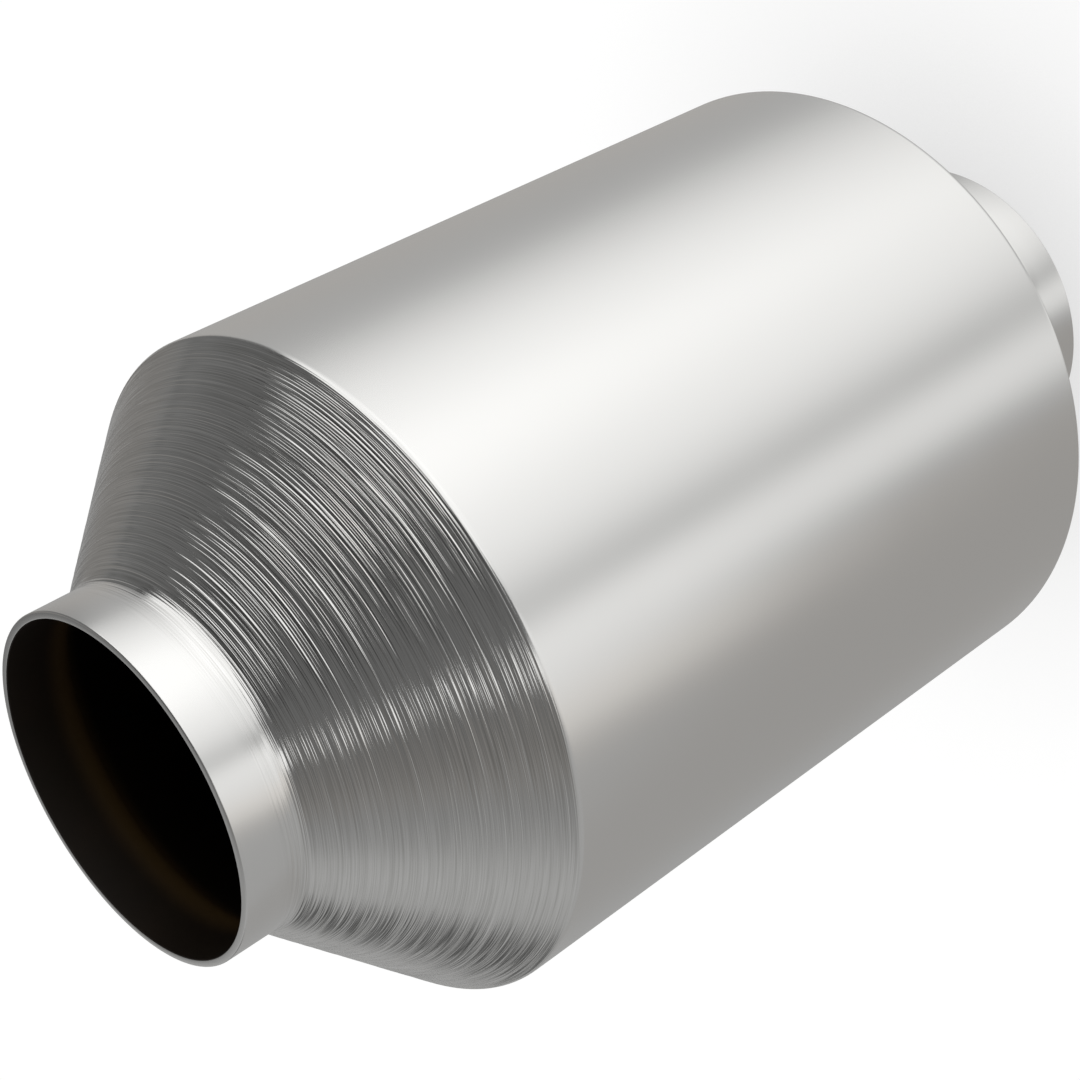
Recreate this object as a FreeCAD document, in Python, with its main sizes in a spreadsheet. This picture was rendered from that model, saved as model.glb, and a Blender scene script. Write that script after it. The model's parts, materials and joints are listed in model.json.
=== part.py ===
"""Round catalytic converter with spin-formed ends, standing free of its exhaust pipes.

The can is one tube. Both its ends are spun down into a cone and a short neck, so the
cylinder, the two cones and the two necks are a single sheet-steel piece. Inside it, a
ceramic honeycomb brick is held by a compressed fibre mat, and a knitted wire ring
keeps the gas off each edge of that mat.

Frame: the origin is the centre of the outlet mouth, whose rim it stands on, and +Z runs
up the axis to the inlet mouth. All sizes are in millimetres.
"""

import FreeCAD, Part
import math
import os

import Sketcher

V = FreeCAD.Vector

# Each row is a size that can be set by itself: its name, its value and what it is.
SIZES = [
    ("brick_diameter", 118.4, "ceramic brick, the standard 4.66 in round"),
    ("brick_length", 114.3, "ceramic brick along the gas flow, 4.5 in"),
    ("brick_skin", 1.0, "closed skin round the outside of the brick"),
    ("cell_pitch", 5.4, "spacing of the channels, drawn coarser than the real 1.27"),
    ("cell_wall", 1.45, "web between two channels, drawn thicker than the real 0.16"),
    ("mat_gap", 4.3, "room for the mounting mat between brick and can"),
    ("brick_inset", 13.75, "empty cylinder between a brick face and the shoulder"),
    ("wall", 1.5, "sheet thickness of the can"),
    ("cone_length", 32.4, "length of a spun cone along the axis"),
    ("neck_length", 12.6, "length of a neck along the axis"),
    ("pipe_diameter", 63.5, "outside of the exhaust pipe that slips in, 2.5 in"),
    ("pipe_clearance", 0.5, "room round that pipe, on the radius"),
    ("shoulder_bend", 1.0, "inside radius of the bend from cone to cylinder"),
    ("neck_bend", 4.5, "outside radius of the bend from neck to cone"),
    ("seal_setback", 3.0, "from a brick face to the wire ring"),
    ("seal_width", 6.0, "wire ring along the axis"),
    ("seam_gap", 1.0, "open line where the two ends of the mat meet"),
    ("tongue_width", 32.0, "tongue of the mat's joint along the axis"),
    ("tongue_reach", 18.0, "how far the tongue laps round the brick"),
]

# Sizes that follow from the ones above, written once and used in every piece.
BRICK_RADIUS = "sizes.brick_diameter / 2"
CAN_BORE_RADIUS = f"({BRICK_RADIUS} + sizes.mat_gap)"
CAN_RADIUS = f"({CAN_BORE_RADIUS} + sizes.wall)"
NECK_BORE_RADIUS = "(sizes.pipe_diameter / 2 + sizes.pipe_clearance)"
NECK_RADIUS = f"({NECK_BORE_RADIUS} + sizes.wall)"
SHOULDER_Z = "(sizes.neck_length + sizes.cone_length)"
BRICK_Z = f"({SHOULDER_Z} + sizes.brick_inset)"
BRICK_END_Z = f"({BRICK_Z} + sizes.brick_length)"
FAR_SHOULDER_Z = f"({BRICK_END_Z} + sizes.brick_inset)"
FAR_NECK_Z = f"({FAR_SHOULDER_Z} + sizes.cone_length)"
OVERALL_HEIGHT = f"({FAR_NECK_Z} + sizes.neck_length)"
MAT_Z = f"({BRICK_Z} + sizes.seal_setback + sizes.seal_width)"
MAT_END_Z = f"({BRICK_END_Z} - sizes.seal_setback - sizes.seal_width)"


def make_sheet(doc):
    """The table of driving sizes."""
    sheet = doc.addObject("Spreadsheet::Sheet", "sizes")
    for row, (alias, value, meaning) in enumerate(SIZES, start=1):
        sheet.set(f"A{row}", meaning)
        sheet.set(f"B{row}", str(value))
        sheet.setAlias(f"B{row}", alias)
    doc.recompute()
    return sheet


def number(doc, expression):
    """What an expression in the sheet's names comes to."""
    return float(doc.getObject("sizes").evalExpression(expression.replace("sizes.", "")))


def origin_feature(body, role):
    """A plane or axis of the body's own origin."""
    return next(f for f in body.Origin.OriginFeatures if f.Role == role)


def new_sketch(body, name, plane):
    """An empty sketch on one of the body's origin planes."""
    sketch = body.newObject("Sketcher::SketchObject", name)
    sketch.AttachmentSupport = [(origin_feature(body, plane), "")]
    sketch.MapMode = "FlatFace"
    return sketch


def fix_point(sketch, geometry, position, x, y):
    """Holds one point of the sketch at two expressions in the sheet's names."""
    for kind, expression in (("DistanceX", x), ("DistanceY", y)):
        at = number(sketch.Document, expression)
        index = sketch.addConstraint(Sketcher.Constraint(kind, -1, 1, geometry, position, at))
        sketch.setExpression(f"Constraints[{index}]", expression)


def rounded_corner(before, corner, after, radius):
    """Where an arc of that radius leaves one side, its middle, and where it joins the next."""
    back = (before - corner).normalize()
    ahead = (after - corner).normalize()
    half_angle = back.getAngle(ahead) / 2
    trim = radius / math.tan(half_angle)
    inward = (back + ahead).normalize()
    middle = corner + inward * (radius / math.sin(half_angle) - radius)
    return corner + back * trim, middle, corner + ahead * trim


def outline(body, name, plane, corners):
    """A closed outline of straight edges with sharp or rounded corners.

    Each corner is two expressions in the sheet's names, and a third, its radius, where it
    is rounded. A rounded corner keeps its sharp point as a construction point, which the
    two sides beside it aim at.
    """
    doc = body.Document
    sketch = new_sketch(body, name, plane)
    points = [V(number(doc, corner[0]), number(doc, corner[1]), 0) for corner in corners]
    radii = [number(doc, corner[2]) if len(corner) > 2 else 0 for corner in corners]
    count = len(corners)
    arcs = []
    for i, radius in enumerate(radii):
        if radius:
            arcs.append(rounded_corner(points[i - 1], points[i], points[(i + 1) % count], radius))
        else:
            arcs.append((points[i], points[i], points[i]))
    for i in range(count):
        side = Part.LineSegment(arcs[i][2], arcs[(i + 1) % count][0])
        sketch.addGeometry(side, False)
    for i, corner in enumerate(corners):
        before, after = (i - 1) % count, i
        if not radii[i]:
            sketch.addConstraint(Sketcher.Constraint("Coincident", before, 2, after, 1))
            fix_point(sketch, after, 1, *corner)
            continue
        aim = sketch.addGeometry(Part.Point(points[i]), True)
        fix_point(sketch, aim, 1, *corner[:2])
        arc = sketch.addGeometry(Part.Arc(*arcs[i]), False)
        start, finish = (1, 2) if sketch.getPoint(arc, 1).isEqual(arcs[i][0], 1e-6) else (2, 1)
        sketch.addConstraint(Sketcher.Constraint("Tangent", before, 2, arc, start))
        sketch.addConstraint(Sketcher.Constraint("Tangent", arc, finish, after, 1))
        sketch.addConstraint(Sketcher.Constraint("PointOnObject", aim, 1, before))
        sketch.addConstraint(Sketcher.Constraint("PointOnObject", aim, 1, after))
        bend = sketch.addConstraint(Sketcher.Constraint("Radius", arc, radii[i]))
        sketch.setExpression(f"Constraints[{bend}]", corner[2])
    doc.recompute()
    return sketch


def spin(body, name, sketch):
    """Turns a sketch round the Z axis into a solid."""
    turned = body.newObject("PartDesign::Revolution", name)
    turned.Profile = sketch
    turned.ReferenceAxis = (sketch, ["V_Axis"])
    turned.Angle = 360
    body.Document.recompute()
    return turned


def can_side(inset, neck_bend, shoulder_bend):
    """One side of the can's wall, from the outlet rim up to the inlet rim.

    inset is how far it lies inside the can's outer skin. Both sides bend about the same
    centres, which moves the inner side's corners along the axis.
    """
    slope = f"atan(({CAN_RADIUS} - {NECK_RADIUS}) / sizes.cone_length)"
    shift = f"{inset} * tan({slope} / 2)"
    neck = f"{NECK_RADIUS} - {inset}"
    can = f"{CAN_RADIUS} - {inset}"
    return [
        (neck, "0"),
        (neck, f"sizes.neck_length + {shift}", neck_bend),
        (can, f"{SHOULDER_Z} + {shift}", shoulder_bend),
        (can, f"{FAR_SHOULDER_Z} - {shift}", shoulder_bend),
        (neck, f"{FAR_NECK_Z} - {shift}", neck_bend),
        (neck, OVERALL_HEIGHT),
    ]


def make_can(doc):
    """The spun can: its wall, drawn once at an even thickness and turned round the axis."""
    body = doc.addObject("PartDesign::Body", "spun_can")
    outside = can_side("0", "sizes.neck_bend", "sizes.shoulder_bend + sizes.wall")
    inside = can_side("sizes.wall", "sizes.neck_bend + sizes.wall", "sizes.shoulder_bend")
    spin(body, "wall", outline(body, "wall_outline", "XZ_Plane", outside + inside[::-1]))
    return body


def channel_outline(middle_x, middle_y, half, limit):
    """One square channel, or None. Where the skin crosses it, the channel ends on that circle."""
    corners = [
        V(middle_x + sx * half, middle_y + sy * half, 0)
        for sx, sy in ((-1, -1), (1, -1), (1, 1), (-1, 1))
    ]
    reach = [corner.Length for corner in corners]
    channel = Part.makePolygon(corners + corners[:1])
    if min(reach) >= limit:
        return None
    if max(reach) > limit:
        disc = Part.Face(Part.Wire(Part.makeCircle(limit)))
        cut = Part.Face(channel).common(disc)
        if not cut.Faces or cut.Area < half * half:
            return None
        channel = cut.Faces[0].OuterWire
    channel.reverse()
    return channel


def brick_section(doc):
    """The brick seen end on: a round skin with square channels, and a web on the axis."""
    radius = number(doc, BRICK_RADIUS)
    pitch = number(doc, "sizes.cell_pitch")
    half = (pitch - number(doc, "sizes.cell_wall")) / 2
    limit = radius - number(doc, "sizes.brick_skin")
    rows = int(radius / pitch) + 1
    middles = [(i + 0.5) * pitch for i in range(-rows, rows)]
    channels = [channel_outline(x, y, half, limit) for x in middles for y in middles]
    skin = Part.Wire(Part.makeCircle(radius))
    return Part.Face([skin] + [channel for channel in channels if channel is not None])


def make_brick(doc):
    """The ceramic brick: its end-on section drawn out along the gas flow."""
    section = doc.addObject("Part::Feature", "brick_section")
    section.Shape = brick_section(doc)
    brick = doc.addObject("Part::Extrusion", "ceramic_brick")
    brick.Base = section
    brick.Dir = V(0, 0, 1)
    brick.Solid = True
    brick.setExpression("LengthFwd", "sizes.brick_length")
    brick.setExpression("Placement.Base.z", BRICK_Z)
    doc.recompute()
    return brick


def ring_outline(body, name, bottom, top):
    """The section of a ring that fills the gap between brick and can."""
    corners = [
        (BRICK_RADIUS, bottom),
        (CAN_BORE_RADIUS, bottom),
        (CAN_BORE_RADIUS, top),
        (BRICK_RADIUS, top),
    ]
    return outline(body, name, "XZ_Plane", corners)


def make_mat(doc):
    """The fibre mat: a sheet wrapped once round the brick, its ends meeting in a tongue joint."""
    body = doc.addObject("PartDesign::Body", "mounting_mat")
    wrap = spin(body, "wrap", ring_outline(body, "mat_outline", MAT_Z, MAT_END_Z))
    middle = f"(({MAT_Z} + {MAT_END_Z}) / 2)"
    tongue = "sizes.tongue_width / 2"
    line = "sizes.seam_gap / 2"
    reach = "sizes.tongue_reach"
    corners = [
        (f"-{line}", MAT_Z),
        (line, MAT_Z),
        (line, f"{middle} - {tongue} - {line}"),
        (f"{reach} + {line}", f"{middle} - {tongue} - {line}"),
        (f"{reach} + {line}", f"{middle} + {tongue} + {line}"),
        (line, f"{middle} + {tongue} + {line}"),
        (line, MAT_END_Z),
        (f"-{line}", MAT_END_Z),
        (f"-{line}", f"{middle} + {tongue} - {line}"),
        (f"{reach} - {line}", f"{middle} + {tongue} - {line}"),
        (f"{reach} - {line}", f"{middle} - {tongue} + {line}"),
        (f"-{line}", f"{middle} - {tongue} + {line}"),
    ]
    seam = body.newObject("PartDesign::Pocket", "seam")
    seam.Profile = outline(body, "seam_outline", "XZ_Plane", corners)
    seam.Type = "Length"
    seam.setExpression("Length", CAN_RADIUS)
    doc.recompute()
    if not seam.Shape.Volume < wrap.Shape.Volume:
        raise RuntimeError("the mat's seam cuts nothing")
    return body


def make_seal(doc, name, bottom, top):
    """A knitted wire ring, pressed between brick and can beside the mat."""
    body = doc.addObject("PartDesign::Body", name)
    spin(body, f"{name}_ring", ring_outline(body, f"{name}_outline", bottom, top))
    return body


def check(doc, pieces):
    """Stops the script if anything in the document failed or a piece is not a sound solid."""
    for item in doc.Objects:
        if {"Invalid", "Error"} & set(item.State):
            raise RuntimeError(f"{item.Label} failed: {item.State}")
    for piece in pieces:
        shape = piece.Shape
        if shape.isNull() or not shape.isValid() or not shape.Solids:
            raise RuntimeError(f"{piece.Label} is not a valid solid")


def main():
    doc = FreeCAD.newDocument("catalytic_converter")
    make_sheet(doc)
    pieces = [
        make_can(doc),
        make_brick(doc),
        make_mat(doc),
        make_seal(doc, "outlet_wire_seal", f"({BRICK_Z} + sizes.seal_setback)", MAT_Z),
        make_seal(doc, "inlet_wire_seal", MAT_END_Z, f"({BRICK_END_Z} - sizes.seal_setback)"),
    ]
    doc.recompute()
    check(doc, pieces)
    os.makedirs("parts", exist_ok=True)
    for piece in pieces:
        piece.Shape.exportStep(f"parts/{piece.Label}.step")
        print(f"{piece.Label}: {piece.Shape.Volume:.0f} mm3, {len(piece.Shape.Faces)} faces")


main()
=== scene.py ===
"""A spun catalytic converter in a plain white studio.

The can is one stainless tube, turned between two necks, with the tool's rings left on both cones.
It stands on its outlet neck, with +Z up its axis to the inlet mouth. Lengths are in metres.
"""

import json
import math
import random

import bmesh
import bpy
from mathutils import Matrix, Vector


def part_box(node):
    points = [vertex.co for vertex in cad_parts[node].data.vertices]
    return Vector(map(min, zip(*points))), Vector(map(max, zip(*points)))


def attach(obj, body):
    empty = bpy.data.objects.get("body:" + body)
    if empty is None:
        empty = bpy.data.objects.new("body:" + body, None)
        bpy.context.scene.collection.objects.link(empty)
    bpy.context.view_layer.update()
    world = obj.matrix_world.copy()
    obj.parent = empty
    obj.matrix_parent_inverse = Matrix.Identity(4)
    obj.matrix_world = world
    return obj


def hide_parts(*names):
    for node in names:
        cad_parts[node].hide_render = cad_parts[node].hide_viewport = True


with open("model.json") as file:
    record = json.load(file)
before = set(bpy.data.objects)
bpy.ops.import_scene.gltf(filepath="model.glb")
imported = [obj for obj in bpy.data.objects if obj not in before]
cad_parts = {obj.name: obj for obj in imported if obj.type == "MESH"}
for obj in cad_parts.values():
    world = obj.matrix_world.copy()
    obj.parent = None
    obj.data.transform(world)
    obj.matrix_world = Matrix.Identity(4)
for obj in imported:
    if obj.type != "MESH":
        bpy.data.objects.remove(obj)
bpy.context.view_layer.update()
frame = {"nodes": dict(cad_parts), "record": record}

MM = 0.001

# Sizes of the can
CAN_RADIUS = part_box("spun_can")[1].x
CAN_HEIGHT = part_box("spun_can")[1].z
MOUTH_RADIUS = frame["record"]["mounts"][0]["dims"]["r_mm"] * MM
WALL = 1.5 * MM
NECK_RADIUS = MOUTH_RADIUS + WALL
NECK_LENGTH = 12.6 * MM
CONE_LENGTH = 32.4 * MM
SHOULDER_DEPTH = NECK_LENGTH + CONE_LENGTH
NECK_BEND = 4.5 * MM
SHOULDER_BEND = 2.0 * MM
RIM_BEND = 0.3 * MM
SEGMENTS = 192

# Rings that the spinning tool leaves on a cone: rows of them in its shape, with two slow swells
RING_ROW = 0.22 * MM
RING_DEPTH = 0.032 * MM
RING_SWELL = 0.015 * MM
SHORT_SWELL = 0.45 * MM
LONG_SWELL = 1.3 * MM
ROWS_TO_DEEPEN = 10

# The tool's scratches between those rings, which run on round the cone and fade. Real ones are some
# hundredths of a millimetre apart, and these are as coarse as they need to be to show.
SCRATCH_PITCH = 0.36 * MM
SCRATCH_DEPTH = 0.2 * MM
SCRATCH_RUN = 40 * MM

# Where those scratches start and are full, measured from the can's end: most of their depth comes
# over the neck's bend, the rest comes past it, and none is left at the shoulder
MARKS_ON_BEND = (NECK_LENGTH - 6 * MM, NECK_LENGTH - 1 * MM)
MARKS_ON_CONE = (NECK_LENGTH - 1.5 * MM, NECK_LENGTH + 1.5 * MM)
MARKS_INSIDE_SHOULDER = (SHOULDER_DEPTH + 0.2 * MM, SHOULDER_DEPTH - 0.6 * MM)
SHARE_ON_BEND = 0.7

# Roughness of the sheet, lowest and highest, and how much of it the tool takes off
SATIN = (0.21, 0.26)
BURNISHING = 0.14

# Sizes of the honeycomb, at 400 channels a square inch
CHANNEL_PITCH = 1.27 * MM
CHANNEL_WEB = 0.17 * MM
BRICK_SKIN = 1.0 * MM

# Sizes of the knitted wire seals
WIRE_RADIUS = 0.16 * MM
WIRE_TURNS = 230
WIRE_STEPS = 10


def linear(hex_colour):
    """An sRGB hex colour as the linear colour that a socket takes."""
    channels = [int(hex_colour[i:i + 2], 16) / 255 for i in (1, 3, 5)]
    return (*[c / 12.92 if c <= 0.04045 else ((c + 0.055) / 1.055) ** 2.4 for c in channels], 1)


def add(tree, kind, inputs=None, **settings):
    """Adds a node with its settings. Each input is given a value, or a socket to be linked from."""
    made = tree.nodes.new(kind)
    for name, value in settings.items():
        setattr(made, name, value)
    for name, value in (inputs or {}).items():
        if isinstance(value, bpy.types.NodeSocket):
            tree.links.new(value, made.inputs[name])
        else:
            made.inputs[name].default_value = value
    return made


def new_material(name):
    """A material with no nodes but its output, and its tree."""
    made = bpy.data.materials.new(name)
    made.use_nodes = True
    made.node_tree.nodes.clear()
    return made, made.node_tree


def depth_from_end(tree, place):
    """A socket with the distance along the axis from the nearer end of the can."""
    height = add(tree, "ShaderNodeSeparateXYZ", {"Vector": place}).outputs["Z"]
    from_middle = add(tree, "ShaderNodeMath", {0: height, 1: CAN_HEIGHT / 2}, operation="SUBTRACT")
    away = add(tree, "ShaderNodeMath", {0: from_middle.outputs["Value"]}, operation="ABSOLUTE")
    return add(tree, "ShaderNodeMath", {0: CAN_HEIGHT / 2, 1: away.outputs["Value"]},
               operation="SUBTRACT").outputs["Value"]


def along_outline(tree, place):
    """A socket with the distance along the cone's outline, which counts the tool's rings."""
    flat = add(tree, "ShaderNodeVectorMath", {0: place, 1: (1, 1, 0)}, operation="MULTIPLY")
    radius = add(tree, "ShaderNodeVectorMath", {0: flat.outputs["Vector"]}, operation="LENGTH")
    rise = CAN_RADIUS - NECK_RADIUS
    slant = math.hypot(rise, CONE_LENGTH)
    inward = add(tree, "ShaderNodeMath", {0: depth_from_end(tree, place), 1: CONE_LENGTH / slant},
                 operation="MULTIPLY")
    return add(tree, "ShaderNodeMath", {0: radius.outputs["Value"], 1: rise / slant,
                                        2: inward.outputs["Value"]},
               operation="MULTIPLY_ADD").outputs["Value"]


def turned_share(tree, place):
    """A socket with how much the tool has worked the steel: 1 on the cones, and 0 on the cylinder."""
    depth = depth_from_end(tree, place)

    def between(reach, most):
        """A socket that grows over a reach of depth, from nothing to its most."""
        low, high = reach
        return add(tree, "ShaderNodeMapRange", {
            "Value": depth, "From Min": low, "From Max": high, "To Max": most}).outputs["Result"]

    grown = add(tree, "ShaderNodeMath", {0: between(MARKS_ON_BEND, SHARE_ON_BEND),
                                         1: between(MARKS_ON_CONE, 1 - SHARE_ON_BEND)},
                operation="ADD").outputs["Value"]
    return add(tree, "ShaderNodeMath", {0: grown, 1: between(MARKS_INSIDE_SHOULDER, 1)},
               operation="MULTIPLY").outputs["Value"]


def tool_path(tree, place):
    """A socket with coordinates that change fast across the tool's rings, and slowly along them."""
    across = add(tree, "ShaderNodeMath", {0: along_outline(tree, place), 1: 1 / SCRATCH_PITCH},
                 operation="MULTIPLY")
    offset = add(tree, "ShaderNodeCombineXYZ", {"Z": across.outputs["Value"]})
    return add(tree, "ShaderNodeVectorMath", {
        0: place, 1: (1 / SCRATCH_RUN, 1 / SCRATCH_RUN, 0), 2: offset.outputs["Vector"]},
        operation="MULTIPLY_ADD").outputs["Vector"]


def satin_steel():
    """Stainless sheet, satin as rolled, and burnished by the spinning tool where it was turned in.

    It gives a soft, slightly clouded sheen on the cylinder, and sharp bright and dark rings on a cone,
    with fine darker lines of painted shade laid into its colour there.
    The satin's grain is really about 0.02 mm, and is drawn coarser to show.
    """
    made, tree = new_material("spun_stainless_steel")
    place = add(tree, "ShaderNodeTexCoord").outputs["Object"]
    turned = turned_share(tree, place)
    path = tool_path(tree, place)
    rings = add(tree, "ShaderNodeTexNoise", {"Vector": path, "Scale": 1.0, "Detail": 1.5})
    scratched = add(tree, "ShaderNodeBump", {"Height": rings.outputs["Fac"], "Distance": SCRATCH_DEPTH,
                                             "Strength": turned})
    grain = add(tree, "ShaderNodeTexNoise", {"Vector": place, "Scale": 1 / (0.35 * MM), "Detail": 2.0})
    grained = add(tree, "ShaderNodeBump", {"Height": grain.outputs["Fac"], "Distance": 0.0035 * MM,
                                           "Normal": scratched.outputs["Normal"]})
    cloud = add(tree, "ShaderNodeTexNoise", {"Vector": place, "Scale": 1 / (30 * MM), "Detail": 3.0})
    satin = add(tree, "ShaderNodeMapRange", {
        "Value": cloud.outputs["Fac"], "To Min": SATIN[0], "To Max": SATIN[1]})
    burnished = add(tree, "ShaderNodeMath", {0: turned, 1: -BURNISHING, 2: satin.outputs["Result"]},
                    operation="MULTIPLY_ADD")
    # Darker lines laid into the cones' colour along the tool's rings are painted shade
    lines = add(tree, "ShaderNodeTexNoise", {"Vector": path, "Scale": 2.0, "Detail": 2.0})
    painted_groove_shade = add(tree, "ShaderNodeMapRange", {
        "Value": lines.outputs["Fac"], "From Min": 0.4, "From Max": 0.7, "To Max": turned})
    tone = add(tree, "ShaderNodeMix", {"Factor": painted_groove_shade.outputs["Result"], 6: linear("#e4e4e3"),
                                       7: linear("#cdcdcb")}, data_type="RGBA")
    shader = add(tree, "ShaderNodeBsdfPrincipled", {
        "Base Color": tone.outputs[2], "Metallic": 1.0, "Roughness": burnished.outputs["Value"],
        "Normal": grained.outputs["Normal"]})
    add(tree, "ShaderNodeOutputMaterial", {"Surface": shader.outputs["BSDF"]})
    return made


def darkened_bore():
    """The inner face of the tube: steel in brown-black, a slight heat tint and mostly painted shade,
    with hardly any gloss.

    A lighter brown band round the throat is a painted highlight on the bend there. The face's scale is
    really about 0.1 mm, and is drawn coarser to show.
    """
    made, tree = new_material("heat_tint_and_painted_shade_steel")
    place = add(tree, "ShaderNodeTexCoord").outputs["Object"]
    # The brown-black is a slight heat tint, darkened into painted shade for the can's dark inside
    stain = add(tree, "ShaderNodeTexNoise", {"Vector": place, "Scale": 1 / (14 * MM), "Detail": 4.0})
    tone = add(tree, "ShaderNodeMix", {"Factor": stain.outputs["Fac"], 6: linear("#15110c"),
                                       7: linear("#241a10")}, data_type="RGBA")
    # A lighter brown band round the throat's bend: a painted highlight
    past_throat = add(tree, "ShaderNodeMath", {
        0: depth_from_end(tree, place), 1: NECK_LENGTH + 0.5 * MM}, operation="SUBTRACT")
    from_throat = add(tree, "ShaderNodeMath", {0: past_throat.outputs["Value"]}, operation="ABSOLUTE")
    painted_throat_highlight = add(tree, "ShaderNodeMapRange", {
        "Value": from_throat.outputs["Value"], "From Min": 6 * MM, "From Max": 0},
        interpolation_type="SMOOTHSTEP")
    with_throat_highlight = add(tree, "ShaderNodeMix", {"Factor": painted_throat_highlight.outputs["Result"], 6: tone.outputs[2],
                                         7: linear("#4c3a20")}, data_type="RGBA")
    grain = add(tree, "ShaderNodeTexNoise", {"Vector": place, "Scale": 1 / (0.5 * MM), "Detail": 2.0})
    rough = add(tree, "ShaderNodeBump", {"Height": grain.outputs["Fac"], "Distance": 0.01 * MM})
    shader = add(tree, "ShaderNodeBsdfPrincipled", {
        "Base Color": with_throat_highlight.outputs[2], "Roughness": 0.55, "Specular IOR Level": 0.25,
        "Normal": rough.outputs["Normal"]})
    add(tree, "ShaderNodeOutputMaterial", {"Surface": shader.outputs["BSDF"]})
    return made


def fired_ceramic():
    """Extruded and fired cordierite with its brown washcoat: dry, matt and slightly mottled.

    Its pores are really about 0.01 mm, and are drawn coarser to show.
    """
    made, tree = new_material("washcoated_cordierite")
    place = add(tree, "ShaderNodeTexCoord").outputs["Object"]
    mottle = add(tree, "ShaderNodeTexNoise", {"Vector": place, "Scale": 1 / (6 * MM), "Detail": 5.0})
    tone = add(tree, "ShaderNodeMix", {"Factor": mottle.outputs["Fac"], 6: linear("#6b5a48"),
                                       7: linear("#8a7660")}, data_type="RGBA")
    pores = add(tree, "ShaderNodeTexNoise", {"Vector": place, "Scale": 1 / (0.12 * MM), "Detail": 2.0})
    rough = add(tree, "ShaderNodeBump", {"Height": pores.outputs["Fac"], "Distance": 0.01 * MM})
    shader = add(tree, "ShaderNodeBsdfPrincipled", {
        "Base Color": tone.outputs[2], "Roughness": 0.9, "Normal": rough.outputs["Normal"]})
    add(tree, "ShaderNodeOutputMaterial", {"Surface": shader.outputs["BSDF"]})
    return made


def fibre_mat():
    """Ceramic fibre paper with golden mica flakes, pressed from a wet pulp: soft, pale and speckled.

    Its fibres are really a few thousandths of a millimetre thick, and are drawn coarser to show.
    """
    made, tree = new_material("mica_fibre_mat")
    place = add(tree, "ShaderNodeTexCoord").outputs["Object"]
    flakes = add(tree, "ShaderNodeTexVoronoi", {"Vector": place, "Scale": 1 / (1.6 * MM)})
    gold = add(tree, "ShaderNodeMapRange", {
        "Value": flakes.outputs["Color"], "From Min": 0.62, "From Max": 0.7})
    tone = add(tree, "ShaderNodeMix", {"Factor": gold.outputs["Result"], 6: linear("#cfc8ba"),
                                       7: linear("#9a7b47")}, data_type="RGBA")
    fibres = add(tree, "ShaderNodeTexNoise", {"Vector": place, "Scale": 1 / (0.4 * MM), "Detail": 4.0})
    rough = add(tree, "ShaderNodeBump", {"Height": fibres.outputs["Fac"], "Distance": 0.15 * MM})
    shader = add(tree, "ShaderNodeBsdfPrincipled", {
        "Base Color": tone.outputs[2], "Roughness": 0.95, "Normal": rough.outputs["Normal"]})
    add(tree, "ShaderNodeOutputMaterial", {"Surface": shader.outputs["BSDF"]})
    return made


def drawn_wire():
    """Stainless wire, drawn and then knitted: bright along its top, and dulled here and there.

    The die's own marks are too fine to show on it, so its dull patches are drawn 0.3 mm across.
    """
    made, tree = new_material("drawn_stainless_wire")
    place = add(tree, "ShaderNodeTexCoord").outputs["Object"]
    draw = add(tree, "ShaderNodeTexNoise", {"Vector": place, "Scale": 1 / (0.3 * MM), "Detail": 2.0})
    polish = add(tree, "ShaderNodeMapRange", {
        "Value": draw.outputs["Fac"], "To Min": 0.25, "To Max": 0.45})
    shader = add(tree, "ShaderNodeBsdfPrincipled", {
        "Base Color": linear("#c9c6c0"), "Metallic": 1.0, "Roughness": polish.outputs["Result"]})
    add(tree, "ShaderNodeOutputMaterial", {"Surface": shader.outputs["BSDF"]})
    return made


def bend(before, corner, after, radius, steps):
    """Points of the arc that rounds a corner of an outline, tangent to both of its sides."""
    to_before = (before - corner).normalized()
    to_after = (after - corner).normalized()
    half = to_before.angle(to_after) / 2
    setback = radius / math.tan(half)
    centre = corner + (to_before + to_after).normalized() * radius / math.sin(half)
    start = corner + to_before * setback - centre
    end = corner + to_after * setback - centre
    return [centre + start.slerp(end, i / steps) * radius for i in range(steps + 1)]


def rows_between(start, end, row):
    """Evenly spaced points between two ends, which are left out."""
    count = max(1, round((end - start).length / row))
    return [start.lerp(end, i / count) for i in range(1, count)]


def ringed(points, rings):
    """The points of a cone's outline, each moved in or out as the tool left it."""
    heights = [rings.gauss(0, 1) * rings.random() * RING_DEPTH for _ in points]
    phase = rings.uniform(0, 6)
    moved = [points[0]]
    for i in range(1, len(points) - 1):
        along = (points[i + 1] - points[i - 1]).normalized()
        out = Vector((along.z, 0, -along.x))
        reach = i * RING_ROW
        swell = RING_SWELL * math.sin(phase + reach / SHORT_SWELL) * math.sin(reach / LONG_SWELL)
        moved.append(points[i] + out * (heights[i] + swell) * min(1, i / ROWS_TO_DEEPEN))
    return moved + [points[-1]]


def outside(seed):
    """One end of the can's outer outline, from its rim to the middle, measured from that end."""
    rim = Vector((NECK_RADIUS, 0, 0))
    throat = Vector((NECK_RADIUS, 0, NECK_LENGTH))
    shoulder = Vector((CAN_RADIUS, 0, SHOULDER_DEPTH))
    middle = Vector((CAN_RADIUS, 0, CAN_HEIGHT / 2))
    inner_rim = Vector((MOUTH_RADIUS, 0, 0))
    edge = bend(inner_rim, rim, throat, RIM_BEND, steps=4)
    lower = bend(rim, throat, shoulder, NECK_BEND, steps=20)
    upper = bend(throat, shoulder, middle, SHOULDER_BEND, steps=10)
    cone = lower + rows_between(lower[-1], upper[0], RING_ROW) + upper[:1]
    return edge + ringed(cone, random.Random(seed)) + upper[1:] + [middle]


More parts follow.
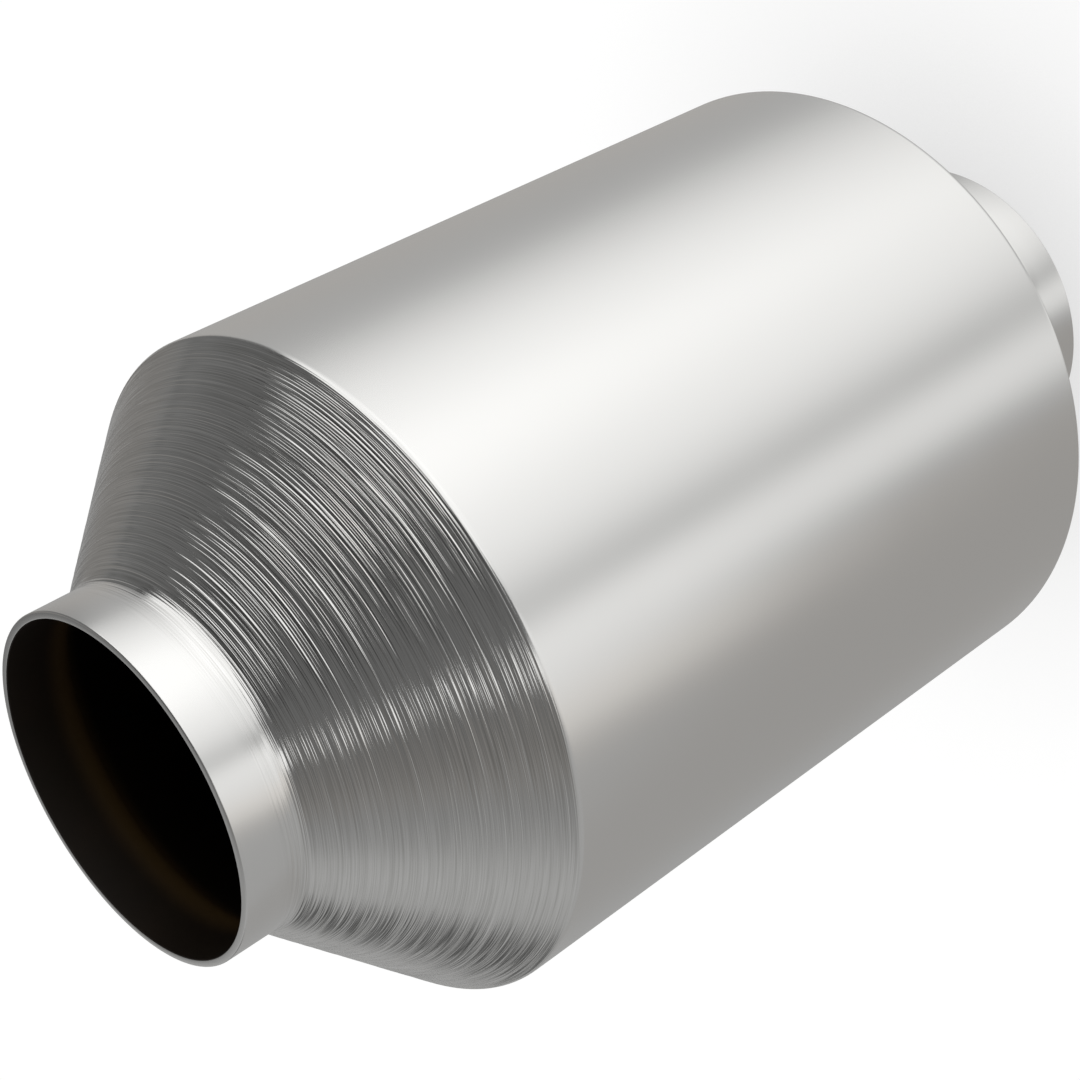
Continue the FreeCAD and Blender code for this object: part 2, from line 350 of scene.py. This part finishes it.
def inside():
    """One end of the can's inner outline, from its rim to the middle, measured from that end."""
    can_bore = CAN_RADIUS - WALL
    rim = Vector((MOUTH_RADIUS, 0, 0))
    throat = Vector((MOUTH_RADIUS, 0, NECK_LENGTH))
    shoulder = Vector((can_bore, 0, SHOULDER_DEPTH))
    middle = Vector((can_bore, 0, CAN_HEIGHT / 2))
    outer_rim = Vector((NECK_RADIUS, 0, 0))
    edge = bend(outer_rim, rim, throat, RIM_BEND, steps=4)
    lower = bend(rim, throat, shoulder, NECK_BEND + WALL, steps=8)
    upper = bend(throat, shoulder, middle, SHOULDER_BEND - WALL, steps=4)
    return edge + lower + upper + [middle]


def turned_over(points):
    """An end's outline, set at the other end of the can."""
    return [Vector((p.x, 0, CAN_HEIGHT - p.z)) for p in points]


def turn(outline):
    """A closed outline in the X-Z plane, spun once round Z."""
    mesh = bmesh.new()
    ring = [mesh.verts.new(p) for p in outline]
    edges = [mesh.edges.new((a, b)) for a, b in zip(ring, ring[1:] + ring[:1])]
    bmesh.ops.spin(mesh, geom=ring + edges, cent=(0, 0, 0), axis=(0, 0, 1), angle=math.tau,
                   steps=SEGMENTS, use_merge=True)
    bmesh.ops.recalc_face_normals(mesh, faces=mesh.faces[:])
    return mesh


def finished(name, mesh, materials, smooth=True):
    """The bmesh as an object that rides with the can's body."""
    for face in mesh.faces:
        face.smooth = smooth
    data = bpy.data.meshes.new(name)
    mesh.to_mesh(data)
    mesh.free()
    for material in materials:
        data.materials.append(material)
    made = bpy.data.objects.new(name, data)
    bpy.context.scene.collection.objects.link(made)
    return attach(made, "root")


def make_can(steel, bore):
    """The one-piece can, bright outside, and dark inside with painted shade."""
    outer = outside(seed=11) + turned_over(outside(seed=12))[::-1][1:]
    inner = inside() + turned_over(inside())[::-1][1:]
    mesh = turn(outer + inner[::-1])
    for face in mesh.faces:
        centre = face.calc_center_median()
        outward = face.normal.xy.dot(centre.xy)
        # The rims stay bright, and only a face that looks well inwards is the bore's
        face.material_index = 0 if outward > -0.3 * centre.xy.length else 1
    can = finished("can_shell", mesh, [steel, bore])
    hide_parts("spun_can")
    return can


def make_honeycomb(ceramic):
    """The brick as extruded: square channels right through it, inside a round skin."""
    low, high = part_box("ceramic_brick")
    count = math.ceil(2 * high.x / CHANNEL_PITCH)
    mesh = bmesh.new()
    bmesh.ops.create_grid(mesh, x_segments=count, y_segments=count, size=count * CHANNEL_PITCH / 2)
    skin = high.x - BRICK_SKIN
    inside_skin = skin + BRICK_SKIN / 2
    beyond = [f for f in mesh.faces if all(v.co.xy.length > skin for v in f.verts)]
    bmesh.ops.delete(mesh, geom=beyond, context="FACES")
    channels = mesh.faces[:]
    bmesh.ops.inset_individual(mesh, faces=channels, thickness=CHANNEL_WEB / 2, use_even_offset=True)
    bmesh.ops.delete(mesh, geom=channels, context="FACES")
    for vertex in mesh.verts:
        reach = vertex.co.xy.length
        if reach > inside_skin:
            vertex.co *= inside_skin / reach
        vertex.co.z = low.z
    webs = bmesh.ops.extrude_face_region(mesh, geom=mesh.faces[:])
    raised = [v for v in webs["geom"] if isinstance(v, bmesh.types.BMVert)]
    bmesh.ops.translate(mesh, verts=raised, vec=(0, 0, high.z - low.z))
    bmesh.ops.recalc_face_normals(mesh, faces=mesh.faces[:])
    wall = turn([Vector((skin, 0, low.z)), Vector((high.x, 0, low.z)),
                 Vector((high.x, 0, high.z)), Vector((skin, 0, high.z))])
    for name, part in (("honeycomb_channels", mesh), ("honeycomb_skin", wall)):
        piece = finished(name, part, [ceramic], smooth=False)
        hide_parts("ceramic_brick")


def make_seal(node, wire):
    """A rope of knitted wire: two coils of opposite hand, wound round the seal's section."""
    low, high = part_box(node)
    brick_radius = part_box("ceramic_brick")[1].x
    half_width = (high.x - brick_radius) / 2 - WIRE_RADIUS
    half_height = (high.z - low.z) / 2 - WIRE_RADIUS
    middle_radius = (high.x + brick_radius) / 2
    middle_height = (high.z + low.z) / 2
    for hand, way in (("left", -1), ("right", 1)):
        curve = bpy.data.curves.new(f"{node}_{hand}", "CURVE")
        curve.dimensions = "3D"
        curve.bevel_depth = WIRE_RADIUS
        curve.bevel_resolution = 0
        spline = curve.splines.new("POLY")
        spline.points.add(WIRE_TURNS * WIRE_STEPS - 1)
        for i, point in enumerate(spline.points):
            round_section = math.tau * i / WIRE_STEPS * way
            round_ring = math.tau * i / len(spline.points)
            reach = middle_radius + half_width * math.cos(round_section)
            point.co = (reach * math.cos(round_ring), reach * math.sin(round_ring),
                        middle_height + half_height * math.sin(round_section), 1)
        spline.use_cyclic_u = True
        path = bpy.data.objects.new(f"{node}_{hand}_path", curve)
        bpy.context.scene.collection.objects.link(path)
        coil = bpy.data.objects.new(f"{node}_{hand}", bpy.data.meshes.new_from_object(path))
        bpy.data.objects.remove(path)
        bpy.context.scene.collection.objects.link(coil)
        coil.data.materials.append(wire)
        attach(coil, "root")
        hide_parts(node)


def dress(node, material):
    """Gives a piece that keeps its shape its own finish."""
    data = frame["nodes"][node].data
    data.materials.clear()
    data.materials.append(material)


# The camera looks at the inlet mouth from above, turned over as the photograph is
CAMERA_LENS = 75.54
CAMERA_TILT = math.radians(35.28)
CAMERA_ROLL = math.radians(-120.03)
MOUTH_IN_VIEW = Vector((-0.07100, -0.04256, -0.38222))


def camera_axes():
    """The directions of the picture's right, its top, and back towards the viewer."""
    level = Vector((1, 0, 0))
    rise = Vector((0, math.sin(CAMERA_TILT), math.cos(CAMERA_TILT)))
    back = Vector((0, -math.cos(CAMERA_TILT), math.sin(CAMERA_TILT)))
    right = math.cos(CAMERA_ROLL) * level + math.sin(CAMERA_ROLL) * rise
    top = -math.sin(CAMERA_ROLL) * level + math.cos(CAMERA_ROLL) * rise
    return right, top, back


def make_camera():
    """The camera of the photograph, placed by where it sees the middle of the inlet mouth."""
    right, top, back = camera_axes()
    data = bpy.data.cameras.new("camera")
    data.lens = CAMERA_LENS
    data.sensor_width = 36
    data.clip_start = 0.01
    camera = bpy.data.objects.new("camera", data)
    bpy.context.scene.collection.objects.link(camera)
    mouth = Vector((0, 0, CAN_HEIGHT))
    camera.location = mouth - (MOUTH_IN_VIEW.x * right + MOUTH_IN_VIEW.y * top + MOUTH_IN_VIEW.z * back)
    camera.rotation_euler = Matrix((right, top, back)).transposed().to_euler()
    bpy.context.scene.camera = camera


# Brightness of the studio by height above its level, in degrees, on each of its sides
ZENITH = {50: 1.09, 60: 1.22, 70: 1.33}
RIGHT_SIDE = {-90: 0.38, -12: 0.38, -6: 0.385, -2: 0.40, 2: 0.55, 6: 0.83, 13: 0.94, 17: 0.80,
              22: 0.50, 26: 0.62, 32: 0.86, 42: 1.03, **ZENITH}
NEAR_SIDE = {**RIGHT_SIDE, -90: 0.42, -24: 0.42, -18: 0.50, -12: 0.78, -6: 0.87, -2: 0.90,
             2: 0.92, 6: 0.97, 13: 1.05, 17: 0.90}
AWAY_SIDE = {-90: 0.39, -40: 0.395, -12: 0.45, 12: 0.455, 22: 0.505, 34: 0.74, 45: 0.94,
             52: 1.05, 60: 1.14, 72: 1.33}
FRONT_SIDE = {-90: 0.09, -83: 0.095, -77: 0.21, -70: 0.415, -57: 0.455, -48: 0.42, -39: 0.34,
              -30: 0.285, -20: 0.25, -12: 0.20, 4: 0.165, 22: 0.15, 90: 0.14}
FRONT_RIGHT = {**FRONT_SIDE, 6: 0.165, 10: 1.05, 17: 1.15, 20.5: 0.155}
FRONT_LEFT = {**FRONT_SIDE, -39: 0.24, -30: 0.15, -25: 0.17, -19: 0.255, -12: 0.262, -6: 0.252,
              1: 0.222, 8: 0.198, 14: 0.168, 22: 0.14}

# Tilts and bearings of the studio's parts, in degrees
STUDIO_TILT = 35.26
STRIP_LEAN = 24
AWAY_LEAN = 30
REAR_BEARING = 30
PANEL_BEARING = -60
PANEL_BOW = -25
CORNER_RISE = 0.15

# Where one part of the studio gives way to the next, as cosines of the angle from an axis
NEAR_EDGE = (0.06, 0.16)
REAR_EDGE = (-0.2, 0.2)
TURNED_EDGE = (-0.04, 0.13)
RIGHT_EDGE = (0.09, 0.14)
LEFT_EDGE = (0.50, 0.75)
CORNER_EDGE = (0.86, 0.96)

# The broad panel over the front: the dark gap below it, and its own bright edge. Each has the
# heights in degrees at which it starts and is full, and its brightness.
PANEL_GAP = (27.5, 29.0, 0.07)
PANEL_EDGE = (32.5, 44.5, 1.18)
UNLIT_CORNER = 0.05
STUDIO_STRENGTH = 1.35

# The studio is a little warmer between these heights in degrees, just below its level
WARM_BAND = (-20, -5)
WARMTH = 0.06


def grey(level, warmth=0.0):
    """The grey of the studio at one brightness, always a little warm, or warmer."""
    level = level / STUDIO_STRENGTH
    return level, level * (0.995 - warmth / 2), level * (0.985 - warmth), 1


def from_nadir(degrees):
    """A height in degrees as a share of the way from the nadir to the zenith."""
    return 0.5 + degrees / 180


def brightness(tree, height, side):
    """A ramp from the nadir to the zenith of one side of the studio, warmest just below its level."""
    ramp = add(tree, "ShaderNodeValToRGB", {"Fac": height})
    elements = ramp.color_ramp.elements
    elements.remove(elements[1])
    elements[0].position = 0
    for degrees, level in side.items():
        stop = elements[0] if degrees == -90 else elements.new(from_nadir(degrees))
        stop.color = grey(level, WARMTH if WARM_BAND[0] <= degrees <= WARM_BAND[1] else 0)
    return ramp.outputs["Color"]


def make_studio():
    """Soft light by direction: a broad panel over the photograph's view of the can, and a low strip."""
    right, top, back = camera_axes()
    tilt = math.radians(STUDIO_TILT)
    overhead = math.cos(tilt) * top + math.sin(tilt) * back
    away = math.sin(tilt) * top - math.cos(tilt) * back
    bearing = math.radians(PANEL_BEARING)
    forward = math.sin(bearing) * right - math.cos(bearing) * away
    bearing = math.radians(REAR_BEARING)
    rear = math.cos(bearing) * right + math.sin(bearing) * away
    world = bpy.data.worlds.new("studio")
    bpy.context.scene.world = world
    world.use_nodes = True
    tree = world.node_tree
    tree.nodes.clear()
    direction = add(tree, "ShaderNodeTexCoord").outputs["Generated"]

    def along(axis):
        """How near the direction is to an axis: 1 along it, and 0 across it."""
        return add(tree, "ShaderNodeVectorMath", {0: direction, 1: axis.normalized()},
                   operation="DOT_PRODUCT").outputs["Value"]

    def share(value, edge):
        """How far a value is past an edge that is soft between two values."""
        low, high = edge
        return add(tree, "ShaderNodeMapRange", {"Value": value, "From Min": low, "From Max": high},
                   interpolation_type="SMOOTHSTEP").outputs["Result"]

    def leaning(axis, degrees):
        """The height, as seen from a studio that leans towards an axis."""
        return add(tree, "ShaderNodeMath", {0: along(axis), 1: degrees / 180, 2: height},
                   operation="MULTIPLY_ADD").outputs["Value"]

    def mix(factor, first, second):
        """The first light, given over to the second as the factor rises."""
        return add(tree, "ShaderNodeMix", {"Factor": factor, 6: first, 7: second},
                   data_type="RGBA").outputs[2]

    angle = add(tree, "ShaderNodeMath", {0: along(overhead)}, operation="ARCSINE").outputs["Value"]
    height = add(tree, "ShaderNodeMath", {0: angle, 1: 1 / math.pi, 2: 0.5},
                 operation="MULTIPLY_ADD").outputs["Value"]

    strip = leaning(away, STRIP_LEAN)
    right_light = mix(share(along(-away), NEAR_EDGE), brightness(tree, strip, RIGHT_SIDE),
                      brightness(tree, strip, NEAR_SIDE))
    away_light = brightness(tree, leaning(right, AWAY_LEAN), AWAY_SIDE)
    rear_light = mix(share(along(right - away), REAR_EDGE), away_light, right_light)

    front_light = mix(share(along(right), RIGHT_EDGE), brightness(tree, height, FRONT_SIDE),
                      brightness(tree, height, FRONT_RIGHT))
    front_light = mix(share(along(-right), LEFT_EDGE), front_light,
                      brightness(tree, height, FRONT_LEFT))
    corner = share(along(forward + CORNER_RISE * overhead), CORNER_EDGE)
    front_light = mix(corner, front_light, grey(UNLIT_CORNER))
    bowed = leaning(forward, PANEL_BOW)
    for low, high, level in (PANEL_GAP, PANEL_EDGE):
        past = share(bowed, (from_nadir(low), from_nadir(high)))
        front_light = mix(past, front_light, grey(level))

    light = mix(share(along(rear), TURNED_EDGE), front_light, rear_light)
    studio = add(tree, "ShaderNodeBackground", {"Color": light, "Strength": STUDIO_STRENGTH})
    white = add(tree, "ShaderNodeBackground", {"Color": (1, 1, 1, 1), "Strength": 1.0})
    seen = add(tree, "ShaderNodeLightPath").outputs["Is Camera Ray"]
    mixed = add(tree, "ShaderNodeMixShader", {0: seen, 1: studio.outputs[0], 2: white.outputs[0]})
    add(tree, "ShaderNodeOutputWorld", {"Surface": mixed.outputs[0]})


# The floor: how far the can's shade reaches over it, how bright it is from the deepest shade to
# open sky, and how little of the sky leaves it unlit. A share of it is paper that the studio lights.
FLOOR_HALF = 6.0
SHADE_REACH = 0.10
SHADE = (0.68, 1.15)
OPEN_SKY = 0.90
SHUT_SKY = 0.12
PAPER_SHARE = 0.15


def make_floor():
    """A white floor that the can stands on, darker near it, and black where nothing lights it.

    The metal doesn't show it, because the photographed metal shows a grey studio all round.
    """
    made, tree = new_material("white_floor")
    seen = add(tree, "ShaderNodeLightPath").outputs["Is Camera Ray"]
    share = add(tree, "ShaderNodeMath", {0: seen, 1: 1 - PAPER_SHARE},
                operation="MULTIPLY").outputs["Value"]
    sky = add(tree, "ShaderNodeAmbientOcclusion", {"Distance": SHADE_REACH}, samples=8).outputs["AO"]
    shade = add(tree, "ShaderNodeMapRange", {
        "Value": sky, "From Max": OPEN_SKY, "To Min": SHADE[0], "To Max": SHADE[1]})
    paper = add(tree, "ShaderNodeBsdfDiffuse", {"Color": (0.9, 0.9, 0.9, 1)})
    opened = add(tree, "ShaderNodeMapRange", {"Value": sky, "From Max": SHUT_SKY})
    level = add(tree, "ShaderNodeMath", {0: shade.outputs["Result"], 1: opened.outputs["Result"]},
                operation="MULTIPLY").outputs["Value"]
    glow = add(tree, "ShaderNodeEmission", {"Color": (1, 1, 1, 1), "Strength": level})
    mixed = add(tree, "ShaderNodeMixShader", {0: share, 1: paper.outputs[0], 2: glow.outputs[0]})
    add(tree, "ShaderNodeOutputMaterial", {"Surface": mixed.outputs[0]})
    mesh = bmesh.new()
    bmesh.ops.create_grid(mesh, x_segments=1, y_segments=1, size=FLOOR_HALF)
    data = bpy.data.meshes.new("floor")
    mesh.to_mesh(data)
    mesh.free()
    data.materials.append(made)
    floor = bpy.data.objects.new("floor", data)
    bpy.context.scene.collection.objects.link(floor)
    floor.visible_glossy = False
    floor.visible_transmission = False
    floor.visible_shadow = False


bpy.context.scene.view_settings.view_transform = "Standard"
make_camera()
make_studio()
make_floor()
make_can(satin_steel(), darkened_bore())
make_honeycomb(fired_ceramic())
dress("mounting_mat", fibre_mat())
wire = drawn_wire()
make_seal("outlet_wire_seal", wire)
make_seal("inlet_wire_seal", wire)
